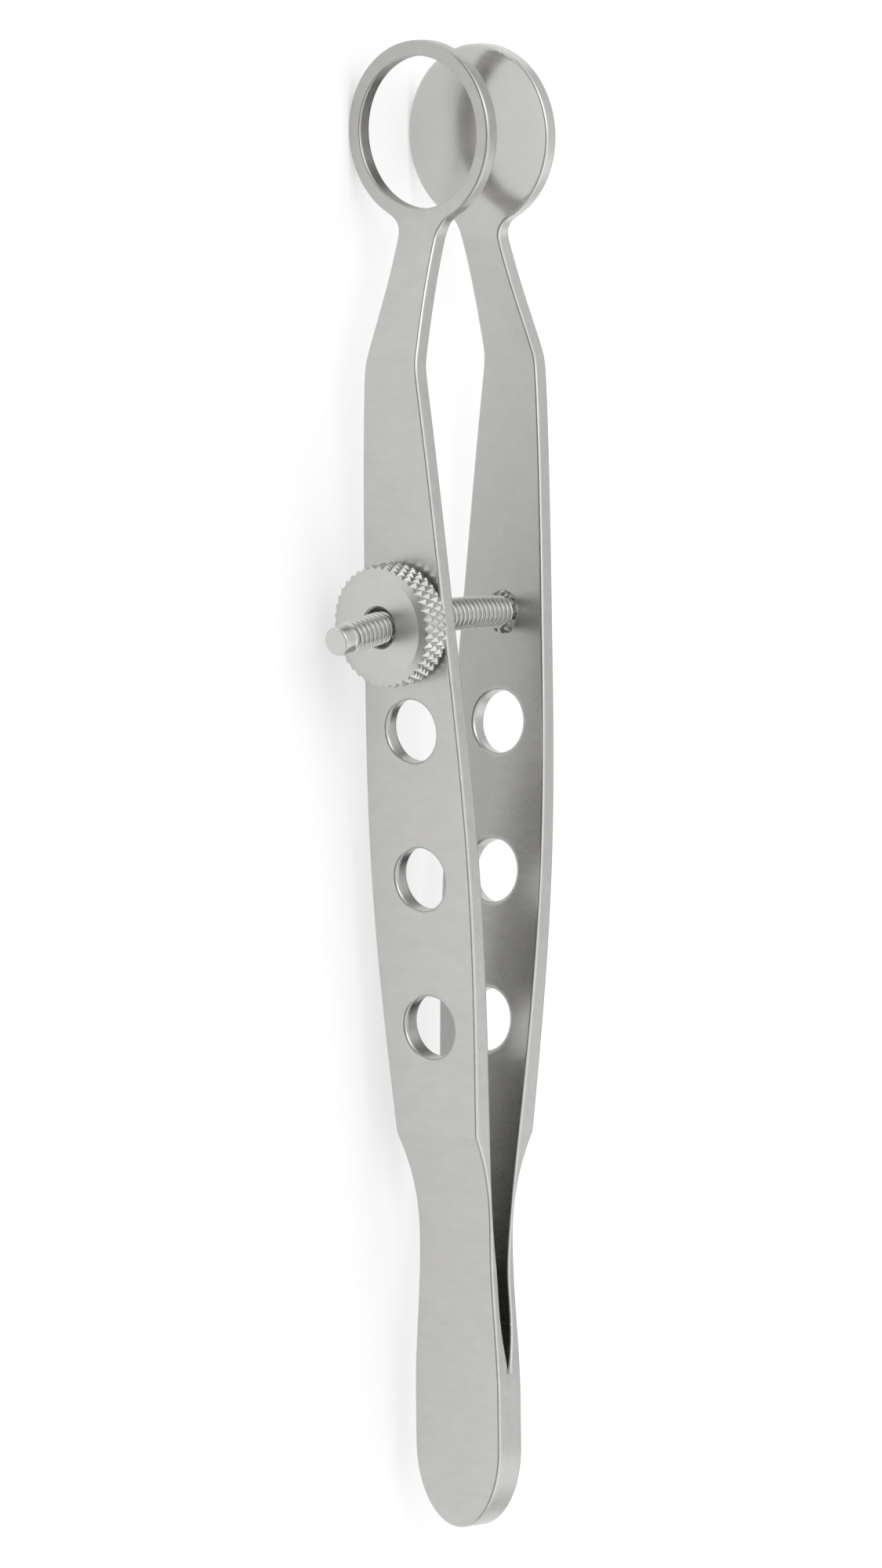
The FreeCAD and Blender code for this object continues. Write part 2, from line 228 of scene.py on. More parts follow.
def outerOffset(station, tip=arm["plateTip"]):
    # flat of the butt, wheel-ground curve up to the step, bowed grip, falling shank and jaw
    run, climb = arm["step"] - arm["runout"], stepOuter - arm["buttThickness"]
    wheelRadius = (run ** 2 + climb ** 2) / (2 * climb)
    past = np.clip(station - arm["runout"], 0, run * 1.2)
    wheel = arm["buttThickness"] + wheelRadius - np.sqrt(wheelRadius ** 2 - past ** 2)
    grip = gripOuter(np.maximum(station, arm["step"] - arm["beforeStep"]))
    rear = softLower(wheel, grip, arm["stepRound"])
    shank = kneeOuter - shankFall(tip) * (station - arm["knee"][0])
    front = softUpper(softLower(grip, shank, arm["kneeCrown"]), jawOuter, arm["jawHollow"])
    return np.where(station < arm["step"] + arm["pastStep"], rear,
                    np.where(station < arm["midGrip"], grip, front))


def filletStart(tip, radius):
    # where the neck's fillet towards the round jaw starts
    height = arm["neckHalf"] + arm["neckFillet"]
    return tip - radius - math.sqrt((radius + arm["neckFillet"]) ** 2 - height ** 2)


neckStation = min(filletStart(arm["ringTip"], arm["ringRadius"]),
                  filletStart(arm["plateTip"], arm["plateRadius"])) - arm["neckStraight"]


def flankHalf(station):
    knots = [k[0] for k in arm["flank"]] + [neckStation]
    values = [k[1] for k in arm["flank"]] + [arm["neckHalf"]]
    return cubicThrough(station, knots, values, 0, 0)


def halfOutline(tip, radius):
    # outline of the arm's face on one side, from the butt's pole to the jaw's, as stations and heights;
    # also the place in it where the round jaw starts, and the middle of the jaw
    start, jaw = filletStart(tip, radius), tip - radius
    height = arm["neckHalf"] + arm["neckFillet"]
    lean = math.atan2(height, jaw - start)
    t = np.linspace(0, math.pi / 2, division["butt"])[:-1]
    endPart = np.stack([arm["buttEndLength"] * (1 - np.cos(t)), arm["buttWidth"] / 2 * np.sin(t)], 1)
    station = np.linspace(arm["buttEndLength"], arm["shoulder"], division["flat"])[:-1]
    flat = np.stack([station, np.full(len(station), arm["buttWidth"] / 2)], 1)
    throat, step, knee = arm["throat"][0], arm["step"], arm["knee"][0]
    atThroat, atStep, atKnee = (division[key] for key in ("aroundThroat", "aroundStep", "aroundKnee"))
    marks = [arm["shoulder"], arm["notch"], throat - atThroat, throat + atThroat,
             arm["runout"], step - atStep, step + atStep, arm["holes"][0] - arm["holeCell"],
             *(hole + arm["holeCell"] for hole in arm["holes"]), arm["stud"] + arm["studCell"],
             knee - atKnee, knee + atKnee, neckStation]
    parts = [np.linspace(a, b, max(2, round((b - a) / gap)) + 1)[:-1]
             for a, b, gap in zip(marks, marks[1:], division["spacing"])]
    station = np.concatenate(parts)
    flank = np.stack([station, flankHalf(station)], 1)
    station = np.linspace(neckStation, start, division["neck"])[:-1]
    straight = np.stack([station, np.full(len(station), arm["neckHalf"])], 1)
    t = np.linspace(0, math.pi / 2 - lean, division["fillet"])[:-1]
    fillet = np.stack([start + arm["neckFillet"] * np.sin(t), height - arm["neckFillet"] * np.cos(t)], 1)
    t = np.linspace(math.pi - lean, 0, division["disc"])
    disc = np.stack([jaw + radius * np.cos(t), radius * np.sin(t)], 1)
    disc[-1, 1] = 0
    outline = np.concatenate([endPart, flat, flank, straight, fillet, disc])
    return outline, len(outline) - len(disc), jaw


def outwardNormals(loop):
    # unit normals of a closed plan loop, to the left of its direction turned outwards
    back, ahead = loop - np.roll(loop, 1, 0), np.roll(loop, -1, 0) - loop
    lengthBack = np.linalg.norm(back, axis=1, keepdims=True)
    lengthAhead = np.linalg.norm(ahead, axis=1, keepdims=True)
    tangent = ahead / lengthAhead * lengthBack + back / lengthBack * lengthAhead
    tangent /= np.linalg.norm(tangent, axis=1, keepdims=True)
    return np.stack([-tangent[:, 1], tangent[:, 0]], 1)


def edgeRows(loop, normal, size, drop, heightOf, side, tip):
    # rows of points round one edge, from its face to the wall
    rows = []
    for a in np.linspace(0, math.pi / 2, division["edge"]):
        plan = loop - normal * size[:, None] * (1 - math.sin(a))
        offset = heightOf(plan[:, 0], tip) + drop * (1 - math.cos(a))
        rows.append(toFrame(plan[:, 0], offset, plan[:, 1], side))
    return rows


def wall(outerLoop, innerLoop, outerNormal, innerNormal, outerRound, innerRound, innerDrop, side, tip):
    # strip from the outer face round the edge, down the wall and round the inner edge, along a plan loop
    rows = edgeRows(outerLoop, outerNormal, outerRound, -outerRound, outerOffset, side, tip)
    lowRows = edgeRows(innerLoop, innerNormal, innerRound, innerDrop, innerOffset, side, tip)[::-1]
    between = [rows[-1] * (1 - share) + lowRows[0] * share for share in division["wall"]]
    return np.stack(rows + between + lowRows)


def cellGrid(loop, centre, rimRadius, heightOf, side, tip):
    # ring of quads between a round rim and the plan loop round it: each ray joins a point of the
    # loop to the rim point at the same angle, and is divided more finely near both ends
    angle = np.arctan2(loop[:, 1], loop[:, 0] - centre)
    rim = np.stack([centre + rimRadius * np.cos(angle), rimRadius * np.sin(angle)], 1)
    share = division["cell"][:, None, None]
    plan = rim[None] * (1 - share) + loop[None] * share
    return toFrame(plan[..., 0], heightOf(plan[..., 0], tip), plan[..., 1], side), angle


def makeArm(name, side, tip, radius, jawHole, studHole):
    outline, jawIndex, jaw = halfOutline(tip, radius)
    count = len(outline)
    loop = np.concatenate([outline, outline[-2:0:-1] * [1, -1]])
    normal = outwardNormals(loop)
    welded = 1 - softStep(loop[:, 0], arm["notch"], arm["notch"] + arm["weldFade"])
    innerRound = arm["innerRound"] * (1 - welded) + arm["weldDepth"] * welded
    innerDrop = arm["innerRound"] * (1 - welded) + arm["weldHalfWidth"] * welded
    atJaw = softStep(loop[:, 0], arm["jawRoundFrom"], arm["jawRoundTo"])
    outerRound = arm["edgeRound"] + (arm["jawRound"] - arm["edgeRound"]) * atJaw
    innerPlan = loop - normal * innerRound[:, None]
    outerPlan = loop - normal * outerRound[:, None]
    across = division["across"]
    grids = [(wall(loop, loop, normal, normal, outerRound, innerRound, innerDrop, side, tip), True)]

    def stationIndex(station):
        return int(np.argmin(np.abs(outline[:jawIndex + 1, 0] - station)))

    cells = [(hole - arm["holeCell"], hole + arm["holeCell"], hole, arm["holeRadius"], arm["holeRadius"])
             for hole in arm["holes"]]
    cells.append((arm["stud"] - arm["studCell"], arm["stud"] + arm["studCell"], arm["stud"], *studHole))
    first, last = stationIndex(cells[0][0]), stationIndex(cells[-1][1])
    for plan, heightOf in ((outerPlan, outerOffset), (innerPlan, innerOffset)):
        half = plan[:count]
        half[0, 1] = half[-1, 1] = 0
        for a, b in ((0, first), (last, jawIndex)):
            stretch = half[a:b + 1]
            station = np.repeat(stretch[:, :1], len(across), 1)
            grid = toFrame(station, heightOf(station, tip), stretch[:, 1:] * across[None], side)
            grids.append((grid, False, plan is innerPlan))
    for low, high, station, innerRadius, outerRadius in cells:
        a, b = stationIndex(low), stationIndex(high)
        slope = float(gripInner(station + 0.5) - gripInner(station - 0.5))
        thick = float(outerOffset(np.array(station)) - innerOffset(np.array(station)))
        rims = []
        for plan, heightOf, holeRadius, shift in ((outerPlan, outerOffset, outerRadius, -slope * thick),
                                                  (innerPlan, innerOffset, innerRadius, 0)):
            half = plan[:count]
            edge = half[a + 1:b]
            rowA = np.stack([np.full(len(across), half[a, 0]), half[a, 1] * across], 1)
            rowB = np.stack([np.full(len(across), half[b, 0]), half[b, 1] * across[::-1]], 1)
            ringLoop = np.concatenate([rowA, edge, rowB, edge[::-1] * [1, -1]])
            rimRound = arm["holeRound"]
            grid, angle = cellGrid(ringLoop, station + shift, holeRadius + rimRound, heightOf, side, tip)
            grids.append((grid, True, plan is innerPlan))
            rims.append((angle, station + shift, holeRadius))
        grids.append((holeWall(rims, arm["holeRound"], side, tip), True))
    rims = []
    for plan, heightOf in ((outerPlan, outerOffset), (innerPlan, innerOffset)):
        half = plan[:count]
        edge = half[jawIndex + 1:]
        row = np.stack([np.full(len(across), half[jawIndex, 0]), half[jawIndex, 1] * across], 1)
        ringLoop = np.concatenate([row, edge, edge[-2::-1] * [1, -1]])
        rimRadius = arm["boreRadius"] + arm["boreRound"] if jawHole else 0
        grid, angle = cellGrid(ringLoop, jaw, rimRadius, heightOf, side, tip)
        grids.append((grid, True, plan is innerPlan))
        rims.append((angle, jaw, arm["boreRadius"]))
    if jawHole:
        grids.append((holeWall(rims, arm["boreRound"], side, tip), True))
    return pieceFromGrids(name, grids)


def holeWall(rims, rimRound, side, tip):
    # wall of a hole: the rim circles on both faces may have their own angles, centres and radii
    loops, normals = [], []
    for angle, centre, radius in rims:
        direction = np.stack([np.cos(angle), np.sin(angle)], 1)
        loops.append([centre, 0] + direction * radius)
        normals.append(-direction)
    rounds = np.full(len(loops[0]), rimRound)
    return wall(loops[0], loops[1], normals[0], normals[1], rounds, rounds, rounds, side, tip)


stud = {
    "radius": 1.0, "pitch": 0.4, "depth": 0.21, "crestShare": 0.16, "slopeShare": 0.66, "bendRadius": 62.5464,
    "reach": 11.4, "tipRadius": 0.88, "tipRound": 0.13, "plainLength": 0.8, "leadIn": 0.5,
    "fadeFrom": 0.05, "fadeTo": 0.35, "intoArm": 0.3, "gap": 0.02, "headRadius": 1.335, "headDepth": 0.35,
    "samplesPerTurn": 18, "around": 72, "sharpAngle": 50,
}


def studPlace(run, radius, angle):
    # point at a radius and an angle round the stud's bent centre line, run millimetres from the middle plane
    bend = run / stud["bendRadius"]
    station = arm["stud"] - stud["bendRadius"] + (stud["bendRadius"] + radius * np.cos(angle)) * np.cos(bend)
    offset = (stud["bendRadius"] + radius * np.cos(angle)) * np.sin(bend)
    return toFrame(station, offset, radius * np.sin(angle))


def makeStud():
    # round bar whose radius falls by the thread's depth between crests that climb one pitch a turn; the
    # crests start at the plain tip's radius and grow to the full one along the lead-in
    top = float(outerOffset(np.array(arm["stud"])))
    shank = float(innerOffset(np.array(arm["stud"])))
    plain, radius, gap = stud["plainLength"] - stud["reach"], stud["radius"], stud["gap"]
    angle = np.linspace(0, 2 * math.pi, stud["around"], endpoint=False)[None, :]
    run = np.arange(plain, shank + stud["intoArm"], stud["pitch"] / stud["samplesPerTurn"])[:, None]
    phase = np.abs(2 * np.mod(run / stud["pitch"] - angle / (2 * math.pi), 1) - 1)
    groove = np.clip((phase - stud["crestShare"]) / stud["slopeShare"], 0, 1)
    groove = groove * groove * (3 - 2 * groove) * 0.5 + groove * 0.5  # half way between straight and soft
    start = softStep(run, plain, plain + stud["leadIn"])
    crest = stud["tipRadius"] + (radius - stud["tipRadius"]) * start
    fade = softStep(run, plain + stud["fadeFrom"], plain + stud["fadeTo"])
    fade = fade * (1 - softStep(run, shank - stud["fadeTo"], shank))
    body = studPlace(run, crest - stud["depth"] * groove * fade, angle)
    head = np.array([[shank + stud["intoArm"] + gap, radius], [top - stud["headDepth"], radius],
                     [top - gap, stud["headRadius"]], [top, stud["headRadius"] - gap],
                     [top, 1.2], [top, 0.6], [top, 0]])
    headGrid = studPlace(head[:, :1], head[:, 1:], angle)
    turn = np.linspace(0, math.pi / 2, 9)
    corner = np.stack([-stud["reach"] + stud["tipRound"] * (1 - np.sin(turn)),
                       stud["tipRadius"] - stud["tipRound"] * (1 - np.cos(turn))], 1)[::-1]
    flat = [[-stud["reach"], share * radius] for share in (0, 0.3, 0.6)]
    nose = np.concatenate([flat, corner, [[plain - 0.2, stud["tipRadius"]]]])
    noseGrid = studPlace(nose[:, :1], nose[:, 1:], angle)
    grid = np.concatenate([noseGrid, body, headGrid])
    return pieceFromGrids("threadedStud", [(grid, True)], stud["sharpAngle"])


nut = {
    "radius": 3.75, "thickness": 2.25, "chamferWidth": 0.6, "chamferDepth": 0.27, "bore": 1.2, "mouth": 0.1,
    "gap": 0.08, "teeth": 39, "knurlPitch": 1.05, "knurlDepth": 0.23, "slopeShare": 0.92, "rim": 0.03,
    "around": 39 * 20, "rows": 84, "sharpAngle": 24,
}
spin = next(joint for joint in frame["record"]["behaviour"]["joints"] if joint["name"] == "nut_spin")
nutSeat = np.array(spin["pos_m"])
nutOutward = -np.array(spin["axis"]) / np.linalg.norm(spin["axis"])


def nutPlace(radius, height, angle):
    # point at a radius, a height above the ring arm and an angle round the nut's axis
    sideways = np.array([0.0, 0.0, 1.0])
    third = np.cross(nutOutward, sideways)
    radius, height, angle = np.broadcast_arrays(radius, height, angle)
    along, first, second = nut["gap"] + height, radius * np.cos(angle), radius * np.sin(angle)
    return (nutSeat + along[..., None] * mm * nutOutward
            + first[..., None] * mm * sideways + second[..., None] * mm * third)


def makeNut():
    # the barrel's radius is the lower of the cone of the chamfer and a field of pyramids, which two
    # families of slanting grooves leave standing
    angle = np.linspace(0, 2 * math.pi, nut["around"], endpoint=False)[None, :]
    height = np.linspace(0, nut["thickness"], nut["rows"])[:, None]
    lean = height / nut["knurlPitch"]
    turn = angle / (2 * math.pi) * nut["teeth"]
    first = np.abs(2 * np.mod(turn + lean, 1) - 1)
    second = np.abs(2 * np.mod(turn - lean, 1) - 1)
    pyramid = np.clip((1 - np.maximum(first, second)) / nut["slopeShare"], 0, 1)
    knurl = nut["radius"] - nut["knurlDepth"] * (1 - pyramid)
    edge = np.minimum(height, nut["thickness"] - height)
    chamfer = nut["radius"] - nut["chamferWidth"] * (1 - edge / nut["chamferDepth"])
    face = nut["radius"] - nut["chamferWidth"]
    barrel = nutPlace(np.minimum(knurl, np.maximum(chamfer, face)), height, angle)
    mouth, rim, top = nut["bore"] + nut["mouth"], nut["rim"], nut["thickness"]
    profile = [[face - rim, top], [2.6, top], [1.9, top], [mouth + rim, top], [mouth, top - 0.02],
               [nut["bore"], top - nut["mouth"]], [nut["bore"], nut["mouth"]], [mouth, 0.02], [mouth + rim, 0],
               [1.9, 0], [2.6, 0], [face - rim, 0], [face, 0]]
    profile = np.array(profile)
    rest = nutPlace(profile[:, :1], profile[:, 1:], angle)
    return pieceFromGrids("knurledNut", [(np.concatenate([barrel, rest]), True)], nut["sharpAngle"])


braze = {
    "reach": 1.2, "height": 0.3, "toButt": 0.3, "sunk": 0.05, "colour": (0.42, 0.41, 0.39), "inside": 0.8,
    "around": 120, "steps": 16, "ripples": ((3, 0.6, 0.04), (7, 2.1, 0.035), (15, 0, 0.025)), "lumps": 0.03,
    "fall": 1.2, "grain": 4200, "shade": (0.25, 1.3), "pits": 0.05,
}


def makeBraze():
    # uneven collar round the foot of the stud, longer towards the butt: it falls away from the stud with a
    # power of the distance, with ripples round it and lumps on it
    angle = np.linspace(0, 2 * math.pi, braze["around"], endpoint=False)[None, :]
    share = np.concatenate([[-0.05], np.linspace(0, 1, braze["steps"])])[:, None]
    ripple = sum(size * np.sin(count * angle + turn) for count, turn, size in braze["ripples"])
    towardsButt = np.clip(-np.cos(angle + 0.25), 0, 1) ** 2
    reach = braze["reach"] + braze["toButt"] * towardsButt + ripple
    tall = braze["height"] * (0.6 + 0.6 * towardsButt) + ripple
    inside = stud["radius"] * braze["inside"]
    radius = inside + (reach - inside) * np.maximum(share, 0)
    lumps = braze["lumps"] * np.sin(11 * angle + 9 * share) * np.sin(14 * share + 5 * angle) * (share > 0.1)
    rise = (tall + lumps) * (1 - np.maximum(share, 0)) ** braze["fall"] * np.ones_like(radius)
    station = arm["stud"] + radius * np.cos(angle)
    face = innerOffset(station)
    offset = face - rise + braze["sunk"] * (share > 0.99) + (share < 0) * (rise + 0.1)
    top = toFrame(station, offset, radius * np.sin(angle))
    under = float(innerOffset(np.array(arm["stud"]))) + 0.1
    closing = toFrame(arm["stud"] + inside * np.cos(angle), under, inside * np.sin(angle))
    return pieceFromGrids("brazeFillet", [(np.concatenate([top[1:], closing, top[1:2]]), True)])


def brazeFinish():
    # cloudy, pitted metal, dark in the pits
    material, nodes, links, shader = newMaterial("brazeMetal", braze["colour"], 0.4)
    lumps = stretchedNoise(nodes, links, (braze["grain"],) * 3, 3)
    tint = nodes.new("ShaderNodeVectorMath")
    tint.operation = "SCALE"
    tint.inputs[0].default_value = braze["colour"]
    links.new(mapped(nodes, links, lumps.outputs["Fac"], *braze["shade"], 0.4, 0.62), tint.inputs["Scale"])
    links.new(tint.outputs["Vector"], shader.inputs["Base Color"])
    bump = nodes.new("ShaderNodeBump")
    bump.inputs["Distance"].default_value = braze["pits"] * mm
    links.new(lumps.outputs["Fac"], bump.inputs["Height"])
    links.new(bump.outputs["Normal"], shader.inputs["Normal"])
    return material


weld = {"depth": 0.39, "halfWidth": 0.297, "middle": 0.15}


def makeWeld():
    # three-cornered bead carried round the butt from notch to notch, flush with the arms' edges
    outline = halfOutline(arm["plateTip"], arm["plateRadius"])[0]
    side = outline[outline[:, 0] <= arm["notch"] + 0.001]
    loop = np.concatenate([side[::-1] * [1, -1], side[1:]])
    back, ahead = np.gradient(loop[:, 0]), np.gradient(loop[:, 1])
    size = np.hypot(back, ahead)
    normal = np.stack([-ahead / size, back / size], 1)
    half, middle, depth = weld["halfWidth"], weld["middle"], weld["depth"]
    profile = np.array([[depth, 0], [0, -half], [0, -middle], [0, 0], [0, middle], [0, half], [depth, 0]])
    plan = loop[None] - normal[None] * profile[:, :1, None]
    rows = toFrame(plan[..., 0], np.repeat(profile[:, 1:], len(loop), 1), plan[..., 1])
    ends = [np.stack([rows[:4, i], rows[:2:-1, i]]) for i in (0, -1)]
    return pieceFromGrids("edgeWeld", [(rows, False), (ends[0], False), (ends[1], False)])


def newMaterial(name, colour, roughness, metallic=1.0):
    material = bpy.data.materials.new(name)
    material.use_nodes = True
    nodes, links = material.node_tree.nodes, material.node_tree.links
    shader = nodes["Principled BSDF"]
    shader.inputs["Base Color"].default_value = (*colour, 1)
    shader.inputs["Roughness"].default_value = roughness
    shader.inputs["Metallic"].default_value = metallic
    return material, nodes, links, shader


def stretchedNoise(nodes, links, scale, detail=3.0):
    # noise on the piece's own coordinates, with its own scale along each axis, per metre
    place = nodes.new("ShaderNodeTexCoord")
    mapping = nodes.new("ShaderNodeMapping")
    mapping.inputs["Scale"].default_value = scale
    noise = nodes.new("ShaderNodeTexNoise")
    noise.inputs["Scale"].default_value = 1.0
    noise.inputs["Detail"].default_value = detail
    links.new(place.outputs["Object"], mapping.inputs["Vector"])
    links.new(mapping.outputs["Vector"], noise.inputs["Vector"])
    return noise


def mapped(nodes, links, source, low, high, fromLow=0.3, fromHigh=0.7):
    node = nodes.new("ShaderNodeMapRange")
    node.inputs["From Min"].default_value = fromLow
    node.inputs["From Max"].default_value = fromHigh
    node.inputs["To Min"].default_value = low
    node.inputs["To Max"].default_value = high
    links.new(source, node.inputs["Value"])
    return node.outputs["Result"]


def multiplied(nodes, links, first, second):
    node = nodes.new("ShaderNodeMath")
    node.operation = "MULTIPLY"
    links.new(first, node.inputs[0])
    links.new(second, node.inputs[1])
    return node.outputs["Value"]


steel = {
    "colour": (0.52, 0.515, 0.5), "roughness": (0.27, 0.35), "grain": 5200, "strokes": (2400, 2400, 800),
    "mottle": (800, 800, 600), "shade": (0.965, 1.03), "polish": ((75, 0.9), (80, 0.46)),
    # painted shade: the plate arm's inner faces darker towards the butt, where the arms close in, and the ring
    # darker towards its end
    "innerPaintedShade": ((14, 0.74), (56, 0.93)), "ringPaintedShade": ((77, 1.0), (86, 0.84)),
    # painted light: the plate arm lighter towards its jaw
    "platePaintedLight": ((62, 1.0), (80, 1.12)), "mottleShade": (0.975, 1.02), "bump": 0.0013,
    "strokeDetail": 4, "mottleDetail": 6,
}
evenShade = ((0, 1), (80, 1))  # the same all along the instrument


def alongArm(nodes, links, first, last):
    # value that goes from one (station, value) pair to another along the instrument
    place = nodes.new("ShaderNodeTexCoord")
    parts = nodes.new("ShaderNodeSeparateXYZ")
    links.new(place.outputs["Object"], parts.inputs["Vector"])
    return mapped(nodes, links, parts.outputs["X"], last[1], first[1],
                  (buttX - last[0]) * mm, (buttX - first[0]) * mm)


def onInnerFaces(nodes, links, value):
    # the value on inner faces, 1 on outer faces and walls
    inner = nodes.new("ShaderNodeAttribute")
    inner.attribute_name = "innerFace"
    mix = nodes.new("ShaderNodeMix")
    mix.inputs[2].default_value = 1.0
    links.new(inner.outputs["Fac"], mix.inputs[0])
    links.new(value, mix.inputs[3])
    return mix.outputs[0]


def satinSteel(name, colour=steel["colour"], roughness=steel["roughness"], bumpDepth=steel["bump"],
               shade=steel["shade"], alongPaintedLight=evenShade, innerPaintedShade=evenShade):
    # bead-blasted steel: fine grain, faint strokes across the arm and soft mottling; painted light and shade
    # in its colour along the arm and on the inner faces
    material, nodes, links, shader = newMaterial(name, colour, 0.35)
    grain = stretchedNoise(nodes, links, (steel["grain"],) * 3)
    strokes = stretchedNoise(nodes, links, steel["strokes"], steel["strokeDetail"])
    mottle = stretchedNoise(nodes, links, steel["mottle"], steel["mottleDetail"])
    smoother = onInnerFaces(nodes, links, alongArm(nodes, links, *steel["polish"]))
    rough = mapped(nodes, links, strokes.outputs["Fac"], *roughness)
    links.new(multiplied(nodes, links, rough, smoother), shader.inputs["Roughness"])
    fine = mapped(nodes, links, strokes.outputs["Fac"], *shade)
    broad = mapped(nodes, links, mottle.outputs["Fac"], *steel["mottleShade"])
    tint = nodes.new("ShaderNodeVectorMath")
    tint.operation = "SCALE"
    tint.inputs[0].default_value = colour
    # painted light and shade: the colour is scaled along the arm, and on the inner faces darkened towards the
    # butt
    level = multiplied(nodes, links, alongArm(nodes, links, *alongPaintedLight),
                       onInnerFaces(nodes, links, alongArm(nodes, links, *innerPaintedShade)))
    links.new(multiplied(nodes, links, level, multiplied(nodes, links, fine, broad)), tint.inputs["Scale"])
    links.new(tint.outputs["Vector"], shader.inputs["Base Color"])
    normal = None
    for height in (grain, strokes):
        bump = nodes.new("ShaderNodeBump")
        bump.inputs["Distance"].default_value = bumpDepth * mm
        links.new(smoother, bump.inputs["Strength"])
        links.new(height.outputs["Fac"], bump.inputs["Height"])
        if normal:
            links.new(normal, bump.inputs["Normal"])
        normal = bump.outputs["Normal"]
    links.new(normal, shader.inputs["Normal"])
    return material


def finishPiece(piece, material, slotName, *nodes):
    piece.data.materials.clear()
    piece.data.materials.append(material)
    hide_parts(*nodes)


# the ring arm's colour gets painted shade, darker towards the ring's end
ringSteel = satinSteel("ringArmSteel", alongPaintedLight=steel["ringPaintedShade"])
# the plate arm's colour gets painted light at the jaw and painted shade on its inner faces towards the butt
plateSteel = satinSteel("plateArmSteel", bumpDepth=0.0009, shade=(0.985, 1.01), alongPaintedLight=steel["platePaintedLight"],
                        innerPaintedShade=steel["innerPaintedShade"])
threadSteel = satinSteel("threadSteel", colour=(0.57, 0.57, 0.555), roughness=(0.24, 0.34), bumpDepth=0.0006,
                         shade=(0.97, 1.03))
nutSteel = satinSteel("nutSteel", colour=(0.55, 0.55, 0.53), roughness=(0.28, 0.34), bumpDepth=0.0004,
                      shade=(0.98, 1.02))

ringArm = makeArm("ringArm", ringSide, arm["ringTip"], arm["ringRadius"], True, arm["ringStudHole"])
finishPiece(ringArm, ringSteel, "satin_steel", "ring_arm", "ring_arm_butt")
plateArm = makeArm("plateArm", plateSide, arm["plateTip"], arm["plateRadius"], False, arm["plateStudHole"])
finishPiece(plateArm, plateSteel, "satin_steel", "plate_arm", "plate_arm_butt")
bend = {"from": 12.0, "to": 22.0, "offset": 0.6}  # stretch of the waist over which the arms bend
bendFrom = tuple(toFrame(bend["from"], bend["offset"], 0).tolist())
bendTo = tuple(toFrame(bend["to"], bend["offset"], 0).tolist())
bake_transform(ringArm)
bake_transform(plateArm)
print("arms done")

edgeWeld = makeWeld()
finishPiece(edgeWeld, plateSteel, "satin_steel", "butt_weld")
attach(edgeWeld, "butt")
threadedStud = makeStud()
finishPiece(threadedStud, threadSteel, "stud_steel", "clamp_stud")
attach(threadedStud, "plate_arm")
brazeFillet = makeBraze()
finishPiece(brazeFillet, brazeFinish(), "braze", "stud_braze")
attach(brazeFillet, "plate_arm")
knurledNut = makeNut()
finishPiece(knurledNut, nutSteel, "nut_steel", "knurled_nut")
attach(knurledNut, "nut")
print("small pieces done")

studio = {
    "floorColour": 0.5, "floorGlow": 0.5, "floorSize": 3.0,
    "keyPower": 1.2, "keySize": 0.5, "keyPlace": (-0.35, -0.25, 0.6),
    "fillPower": 0.5, "fillSize": 0.6, "fillPlace": (0.4, 0.4, 0.5),
    "sky": ((0, 0.12), (18, 0.16), (40, 0.85), (60, 1.2), (100, 1.3), (122, 0.95), (144, 0.78), (180, 0.7)),
}


def makeStage():
    floorMesh = bpy.data.meshes.new("floor")
    size = studio["floorSize"]
    corners = [(-size, -size, 0), (size, -size, 0), (size, size, 0), (-size, size, 0)]
    floorMesh.from_pydata(corners, [], [(0, 1, 2, 3)])
    floor = bpy.data.objects.new("floor", floorMesh)
    bpy.context.scene.collection.objects.link(floor)
    material, nodes, links, shader = newMaterial("paleFloor", (studio["floorColour"],) * 3, 0.9, 0.0)
    shader.inputs["Specular IOR Level"].default_value = 0.0
    path = nodes.new("ShaderNodeLightPath")
    seen = nodes.new("ShaderNodeMath")
    seen.operation = "MAXIMUM"
    links.new(path.outputs["Is Camera Ray"], seen.inputs[0])
    links.new(path.outputs["Is Glossy Ray"], seen.inputs[1])
    glow = nodes.new("ShaderNodeMath")
    glow.operation = "MULTIPLY"
    glow.inputs[1].default_value = studio["floorGlow"]
    links.new(seen.outputs[0], glow.inputs[0])
    shader.inputs["Emission Color"].default_value = (1, 1, 1, 1)
    links.new(glow.outputs[0], shader.inputs["Emission Strength"])
    floorMesh.materials.append(material)


def addLamp(name, place, size, power):
    data = bpy.data.lights.new(name, "AREA")
    data.shape = "SQUARE"
    data.size = size
    data.energy = power
    lamp = bpy.data.objects.new(name, data)
    lamp.location = place
    lamp.rotation_mode = "QUATERNION"
    lamp.rotation_quaternion = (-Vector(place)).to_track_quat("-Z", "Y")
    bpy.context.scene.collection.objects.link(lamp)


makeStage()
addLamp("keyLamp", studio["keyPlace"], studio["keySize"], studio["keyPower"])
addLamp("fillLamp", studio["fillPlace"], studio["fillSize"], studio["fillPower"])


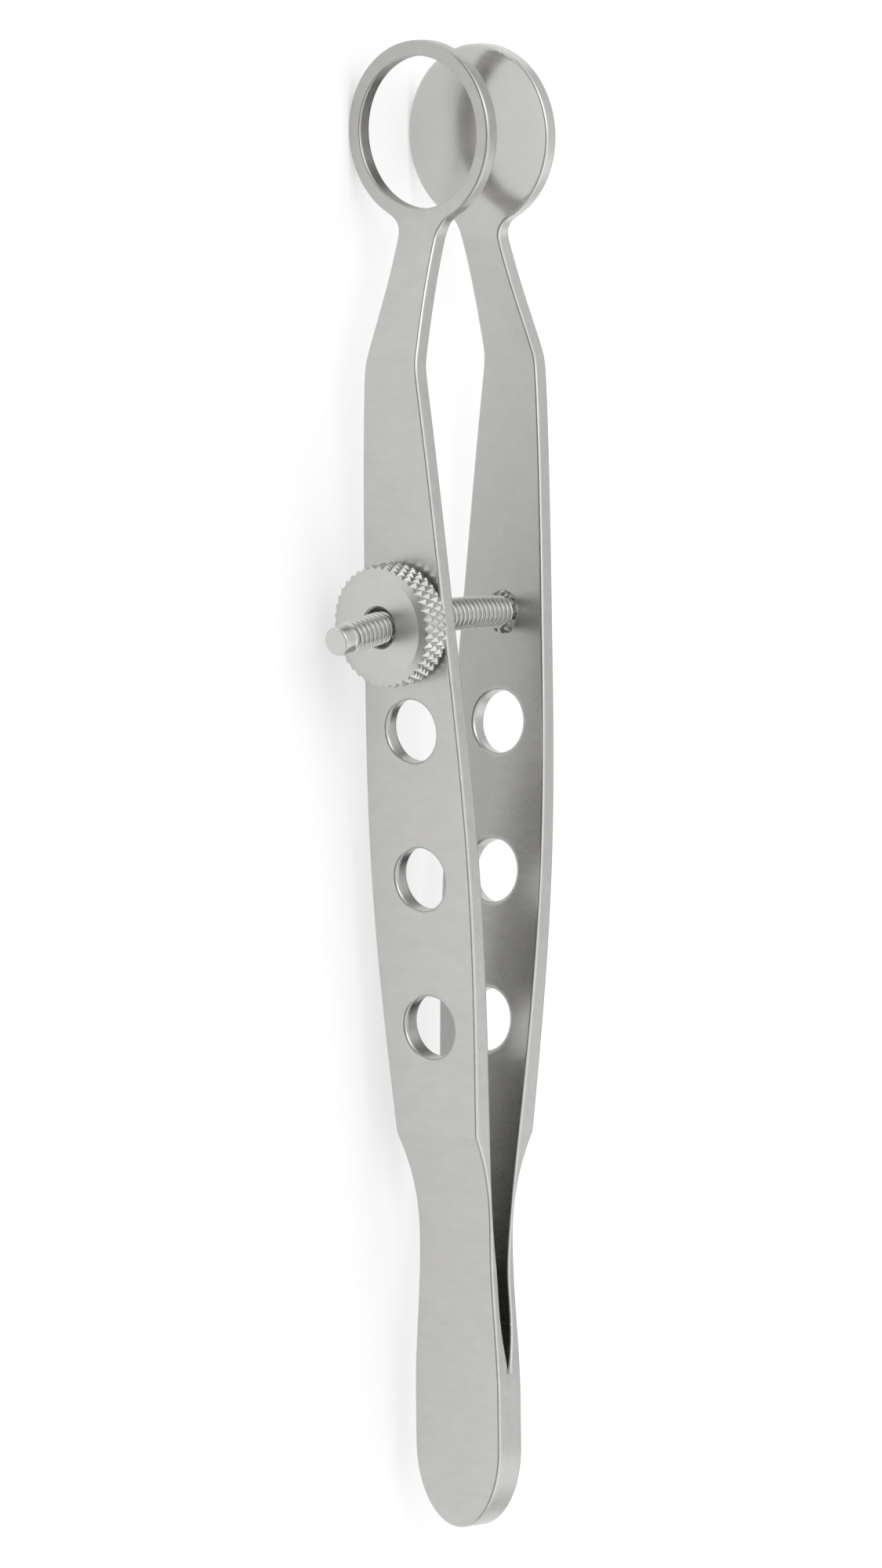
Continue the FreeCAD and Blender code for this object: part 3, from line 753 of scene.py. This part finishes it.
def makeSky():
    # soft room: its brightness follows the angle round the length of the instrument, from the horizon in
    # front of the ring arm over the top to the horizon behind the plate arm
    world = bpy.data.worlds.new("softRoom")
    bpy.context.scene.world = world
    world.use_nodes = True
    nodes, links = world.node_tree.nodes, world.node_tree.links
    place = nodes.new("ShaderNodeTexCoord")
    parts = nodes.new("ShaderNodeSeparateXYZ")
    links.new(place.outputs["Generated"], parts.inputs["Vector"])
    forward = nodes.new("ShaderNodeMath")
    forward.operation = "MULTIPLY"
    forward.inputs[1].default_value = -1
    links.new(parts.outputs["Y"], forward.inputs[0])
    angle = nodes.new("ShaderNodeMath")
    angle.operation = "ARCTAN2"
    links.new(parts.outputs["Z"], angle.inputs[0])
    links.new(forward.outputs["Value"], angle.inputs[1])
    ramp = nodes.new("ShaderNodeValToRGB")
    stops = ramp.color_ramp.elements
    for _ in studio["sky"][2:]:
        stops.new(0.5)
    strongest = max(level for _, level in studio["sky"])
    for stop, (degrees, level) in zip(stops, studio["sky"]):
        stop.position = degrees / 180
        stop.color = (level / strongest,) * 3 + (1,)
    links.new(mapped(nodes, links, angle.outputs["Value"], 0.0, 1.0, 0.0, math.pi), ramp.inputs["Fac"])
    background = nodes["Background"]
    background.inputs["Strength"].default_value = strongest
    links.new(ramp.outputs["Color"], background.inputs["Color"])


makeSky()

view = {"elevation": 40.5, "tilt": 4.5, "roll": 0.715, "distance": 1000, "scale": 21.1,
        "aimStation": 45.0, "principal": (587.51, 1002.76), "image": (1125, 2000), "sensor": 36.0}


def makeCamera():
    # the camera looks at the face of the ring arm from above, with the butt at the bottom of the picture
    up, tilt, roll = (math.radians(view[key]) for key in ("elevation", "tilt", "roll"))
    right = Vector((0, math.sin(up), math.cos(up)))
    facing = Vector((0, -math.cos(up), math.sin(up)))
    length = Vector((-1, 0, 0))
    vertical = length * math.cos(tilt) - facing * math.sin(tilt)
    back = facing * math.cos(tilt) + length * math.sin(tilt)
    turnedRight = right * math.cos(roll) - vertical * math.sin(roll)
    turnedUp = right * math.sin(roll) + vertical * math.cos(roll)
    aim = Vector(toFrame(view["aimStation"], 0, 0).tolist())
    data = bpy.data.cameras.new("camera")
    camera = bpy.data.objects.new("camera", data)
    bpy.context.scene.collection.objects.link(camera)
    turn = Matrix((turnedRight, turnedUp, back)).transposed()
    camera.matrix_world = Matrix.Translation(aim + back * view["distance"] * mm) @ turn.to_4x4()
    width, height = view["image"]
    data.sensor_width = view["sensor"]
    data.lens = view["sensor"] * view["scale"] * view["distance"] / height
    data.shift_x = -(view["principal"][0] - width / 2) / height
    data.shift_y = (view["principal"][1] - height / 2) / height
    data.clip_start = 0.01
    bpy.context.scene.camera = camera


makeCamera()
bpy.context.scene.view_settings.view_transform = "Standard"
print("stage done")
